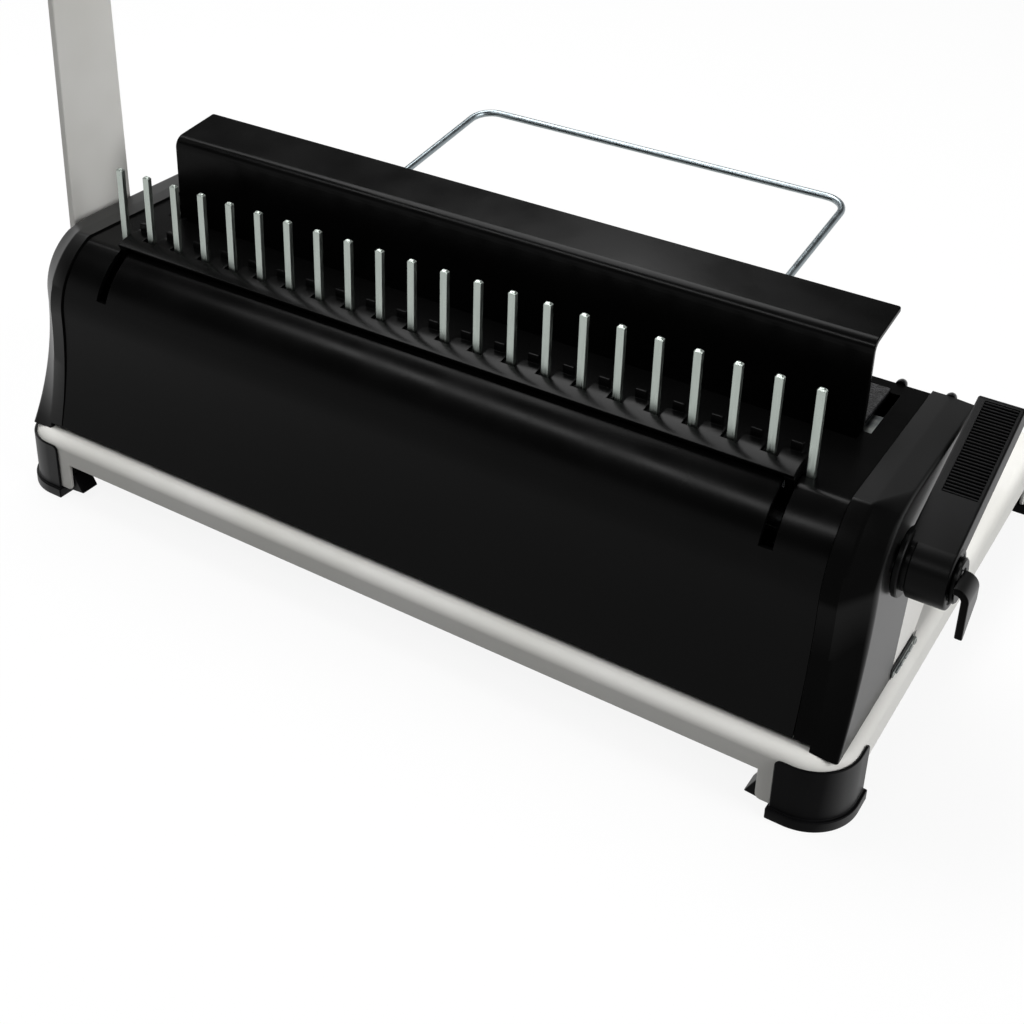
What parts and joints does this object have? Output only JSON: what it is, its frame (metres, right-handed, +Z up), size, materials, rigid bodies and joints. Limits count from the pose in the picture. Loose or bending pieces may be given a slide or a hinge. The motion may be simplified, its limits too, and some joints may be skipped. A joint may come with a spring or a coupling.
{
  "type": "comb binding machine",
  "caption": "Manual comb binding machine: a side handle punches a row of holes in paper and a ribbed lever opens plastic combs over upright pins.",
  "frame": {"origin": "centre of the base on the surface that the machine stands on", "axes": "+X to the right seen from the front, +Y to the back, +Z up"},
  "size_m": [0.41, 0.2476, 0.33],
  "materials": {
    "light_paint": "textured powder coat",
    "black_cover": "moulded, semi-gloss",
    "black_plastic": "moulded, satin",
    "black_steel_paint": "black enamel, satin",
    "black_crinkle": "crinkle paint",
    "black_oxide": "blackened steel",
    "zinc_plate": "zinc plated",
    "bright_wire": "bright drawn wire",
    "tool_steel": "ground steel",
    "grip_rubber": "moulded grip",
    "brass": "sintered bronze bush"
  },
  "bodies": {
    "frame": {"base_tray": "light_paint", "foot_front_right": "black_plastic", "foot_front_left": "black_plastic", "foot_rear_right": "black_plastic", "foot_rear_left": "black_plastic", "main_cover": "black_cover", "left_end_cover": "black_cover", "right_end_cover": "black_cover", "rear_cover": "black_steel_paint", "side_frame_left": "tool_steel", "side_frame_right": "tool_steel", "side_panel_left": "light_paint", "side_panel_right": "light_paint", "comb_pins": "zinc_plate", "pin_bar": "tool_steel", "comb_bushes": "brass", "drive_bushes": "brass", "guide_bar": "tool_steel", "die_bar": "tool_steel", "depth_stop": "tool_steel", "throat_guide": "black_steel_paint", "side_stop": "black_plastic", "paper_plate": "black_steel_paint", "top_insert": "black_crinkle", "plate_bracket_left": "zinc_plate", "plate_bracket_right": "zinc_plate", "wire_clips": "black_plastic", "tray_rails": "tool_steel", "chip_chute": "tool_steel", "panel_clips": "zinc_plate", "rear_screws": "black_oxide", "spring_bar": "tool_steel"},
    "comb_opener": {"comb_shaft": "tool_steel", "comb_lever": "black_plastic", "hub_disc": "black_oxide", "hook_plate": "black_steel_paint", "hook_arms": "black_steel_paint"},
    "tab": {"size_tab": "black_steel_paint"},
    "handle": {"punch_handle": "light_paint", "handle_grip": "grip_rubber", "handle_nut": "black_oxide", "handle_spacer": "tool_steel", "drive_shaft": "tool_steel", "cranks": "tool_steel", "crank_pins": "tool_steel", "crank_sleeves": "brass"},
    "punch_head": {"punch_bar": "tool_steel", "yokes": "tool_steel", "punches": "tool_steel", "return_springs": "bright_wire"},
    "wire": {"wire_rest": "bright_wire"},
    "tray": {"chip_tray": "black_plastic"}
  },
  "joints": [
    {"name": "handle_hinge", "type": "hinge", "parent": "frame", "child": "handle", "pos_m": [0, -0.0613, 0.066], "axis": [1, 0, 0], "range_deg": [0, 50], "stiffness_Nm_per_rad": 0.9, "springref_deg": -28.65},
    {"name": "punch_slide", "type": "slide", "parent": "frame", "child": "punch_head", "axis": [0, 1, 0], "range_m": [0, 0.0085], "deforming": ["return_springs"]},
    {"name": "comb_hinge", "type": "hinge", "parent": "frame", "child": "comb_opener", "pos_m": [0, -0.0816, 0.0875], "axis": [1, 0, 0], "range_deg": [0, 55]},
    {"name": "tab_hinge", "type": "hinge", "parent": "comb_opener", "child": "tab", "pos_m": [0.202, -0.0816, 0.0875], "axis": [1, 0, 0], "range_deg": [-20, 20]},
    {"name": "wire_hinge", "type": "hinge", "parent": "frame", "child": "wire", "pos_m": [0, -0.0066, 0.109], "axis": [1, 0, 0], "range_deg": [-50, 80]},
    {"name": "tray_slide", "type": "slide", "parent": "frame", "child": "tray", "axis": [1, 0, 0], "range_m": [0, 0.2]}
  ],
  "couplings": [
    {"joint": "punch_slide", "follows": "handle_hinge", "m_per_rad": 0.009686}
  ]
}
